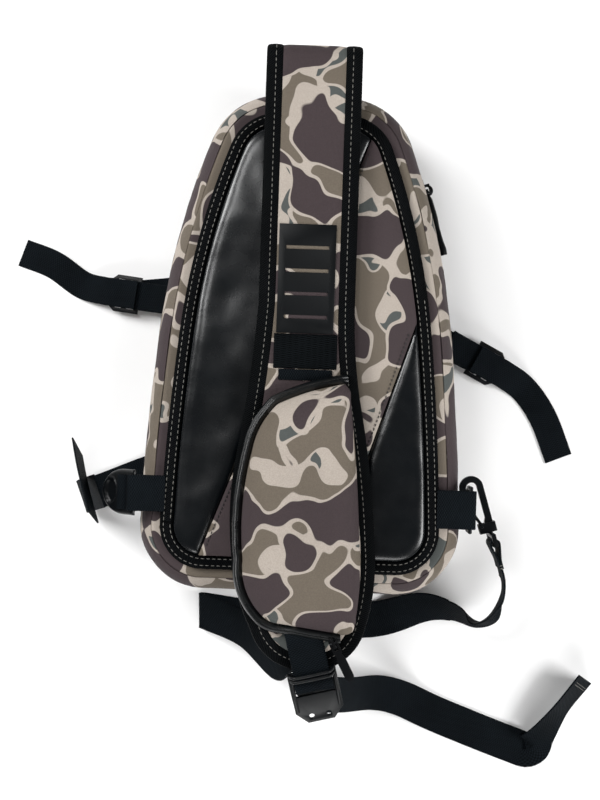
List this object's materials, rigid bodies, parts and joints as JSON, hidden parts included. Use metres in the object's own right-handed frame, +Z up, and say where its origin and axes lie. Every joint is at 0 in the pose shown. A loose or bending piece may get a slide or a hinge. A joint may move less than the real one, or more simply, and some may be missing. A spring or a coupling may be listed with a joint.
{
  "type": "sling bag",
  "caption": "Padded single-shoulder sling bag lying on its front, with a folded-down strap that carries a zipped pocket, loose webbing, ladder buckles and a snap hook clipped to a ring.",
  "frame": {"origin": "on the floor, under the middle of the body, in the plane that the front rests on", "axes": "+Z up out of the padded back, +Y towards the top of the bag, +X to the right when looking down on the back"},
  "size_m": [0.5276, 0.6125, 0.143],
  "materials": {
    "camouflage_fabric": "matte printed laminate",
    "black_coated_fabric": "satin coated",
    "black_webbing": "woven",
    "black_binding": "ribbed tape with stitching",
    "black_moulded_plastic": "satin",
    "black_ring_metal": "satin",
    "coated_zipper": "glossy coated",
    "foam": "closed-cell foam",
    "lining_mesh": "mesh"
  },
  "bodies": {
    "bag_body": {"front_panel": "camouflage_fabric", "front_pocket": "camouflage_fabric", "front_zipper_tape": "coated_zipper", "side_wall": "camouflage_fabric", "back_panel": "camouflage_fabric", "back_foam": "foam", "back_pad_left": "black_coated_fabric", "back_pad_right": "black_coated_fabric", "back_camo_band": "camouflage_fabric", "back_binding": "black_binding", "main_zipper_tape": "coated_zipper", "main_zipper_teeth": "black_moulded_plastic", "inner_pocket": "lining_mesh", "strap_root": "camouflage_fabric", "right_corner_tab": "black_webbing", "left_corner_tab": "black_webbing", "left_side_loop": "black_webbing", "right_side_loop": "black_webbing", "left_side_strap": "black_webbing", "right_side_strap": "black_webbing", "stabiliser_strap": "black_webbing", "sling_webbing_run": "black_webbing"},
    "shoulder_strap": {"shoulder_strap_pad": "camouflage_fabric", "strap_binding": "black_binding", "strap_slot_panel": "black_coated_fabric", "strap_elastic_band": "black_webbing", "strap_upper_webbing": "black_webbing", "strap_pocket_shell": "camouflage_fabric", "strap_pocket_zipper": "coated_zipper", "strap_end_webbing": "black_webbing", "sling_webbing_loop": "black_webbing"},
    "strap_lock": {"strap_ladder_lock": "black_moulded_plastic", "strap_tail": "black_webbing"},
    "pocket_slider": {"pocket_zipper_slider": "black_moulded_plastic"},
    "pocket_puller": {"pocket_zipper_puller": "black_moulded_plastic"},
    "main_slider": {"main_zipper_slider": "black_moulded_plastic"},
    "main_pull": {"main_zipper_pull": "black_moulded_plastic"},
    "front_slider": {"front_zipper_slider": "black_moulded_plastic"},
    "front_puller": {"front_zipper_puller": "black_moulded_plastic"},
    "ring": {"corner_ring": "black_ring_metal"},
    "hook_eye": {"hook_swivel_eye": "black_moulded_plastic", "hook_webbing_end": "black_webbing"},
    "hook": {"snap_hook": "black_moulded_plastic", "gate_pin": "black_ring_metal"},
    "hook_gate": {"snap_hook_gate": "black_moulded_plastic"},
    "left_lock": {"left_corner_lock": "black_moulded_plastic", "stabiliser_return": "black_webbing", "stabiliser_tail": "black_webbing"},
    "left_side_buckle": {"left_side_lock": "black_moulded_plastic", "left_side_tail": "black_webbing"},
    "right_side_buckle": {"right_side_lock": "black_moulded_plastic", "right_side_tail": "black_webbing"}
  },
  "joints": [
    {"name": "strap_lift", "type": "hinge", "parent": "bag_body", "child": "shoulder_strap", "pos_m": [0, 0.233, 0.109], "axis": [-1, 0, 0], "range_deg": [0, 40]},
    {"name": "strap_lock_tilt", "type": "hinge", "parent": "shoulder_strap", "child": "strap_lock", "pos_m": [0.0135, -0.2705, 0.1263], "axis": [-0.9703, -0.2419, 0], "range_deg": [0, 30]},
    {"name": "pocket_zip", "type": "slide", "parent": "shoulder_strap", "child": "pocket_slider", "axis": [-0.9911, 0.1334, 0], "range_m": [0, 0.04]},
    {"name": "pocket_puller_swing", "type": "hinge", "parent": "pocket_slider", "child": "pocket_puller", "pos_m": [0.0305, -0.2454, 0.1347], "axis": [-0.8829, -0.4695, 0], "range_deg": [-8, 100]},
    {"name": "main_zip", "type": "hinge", "parent": "bag_body", "child": "main_slider", "pos_m": [-0.51372, -0.06087, 0.036], "axis": [0, 0, 1], "range_deg": [-11, 2]},
    {"name": "main_pull_swing", "type": "hinge", "parent": "main_slider", "child": "main_pull", "pos_m": [0.10189, 0.13916, 0.036], "axis": [0, 0, 1], "range_deg": [0, 100]},
    {"name": "front_zip", "type": "slide", "parent": "bag_body", "child": "front_slider", "axis": [-1, 0, 0], "range_m": [0, 0.13]},
    {"name": "front_puller_swing", "type": "hinge", "parent": "front_slider", "child": "front_puller", "pos_m": [0.07, 0.0839, 0.005], "axis": [0, 0, -1], "range_deg": [0, 95]},
    {"name": "ring_swing", "type": "hinge", "parent": "bag_body", "child": "ring", "pos_m": [0.1416, -0.136, 0.1048], "axis": [0, -1, 0], "range_deg": [-1, 10]},
    {"name": "hook_swing", "type": "hinge", "parent": "bag_body", "child": "hook_eye", "pos_m": [0.1433, -0.1182, 0.089], "axis": [0, 0, 1], "range_deg": [-8, 12]},
    {"name": "hook_swivel", "type": "hinge", "parent": "hook_eye", "child": "hook", "pos_m": [0.16054, -0.15476, 0.089], "axis": [-0.2924, 0.9563, 0], "range_deg": [-6, 6]},
    {"name": "gate_open", "type": "hinge", "parent": "hook", "child": "hook_gate", "pos_m": [0.15318, -0.15052, 0.089], "axis": [0, 0, -1], "range_deg": [0, 16], "stiffness_Nm_per_rad": 0.05, "springref_deg": -11.46},
    {"name": "left_lock_tilt", "type": "hinge", "parent": "bag_body", "child": "left_lock", "pos_m": [-0.1395, -0.1305, 0.1048], "axis": [0, 1, 0], "range_deg": [0, 30]},
    {"name": "left_side_buckle_tilt", "type": "hinge", "parent": "bag_body", "child": "left_side_buckle", "pos_m": [-0.151, 0.039, 0.0085], "axis": [0.1219, 0.9925, 0], "range_deg": [0, 30]},
    {"name": "right_side_buckle_tilt", "type": "hinge", "parent": "bag_body", "child": "right_side_buckle", "pos_m": [0.1515, -0.0065, 0.0085], "axis": [-0.454, -0.891, 0], "range_deg": [0, 30]}
  ]
}
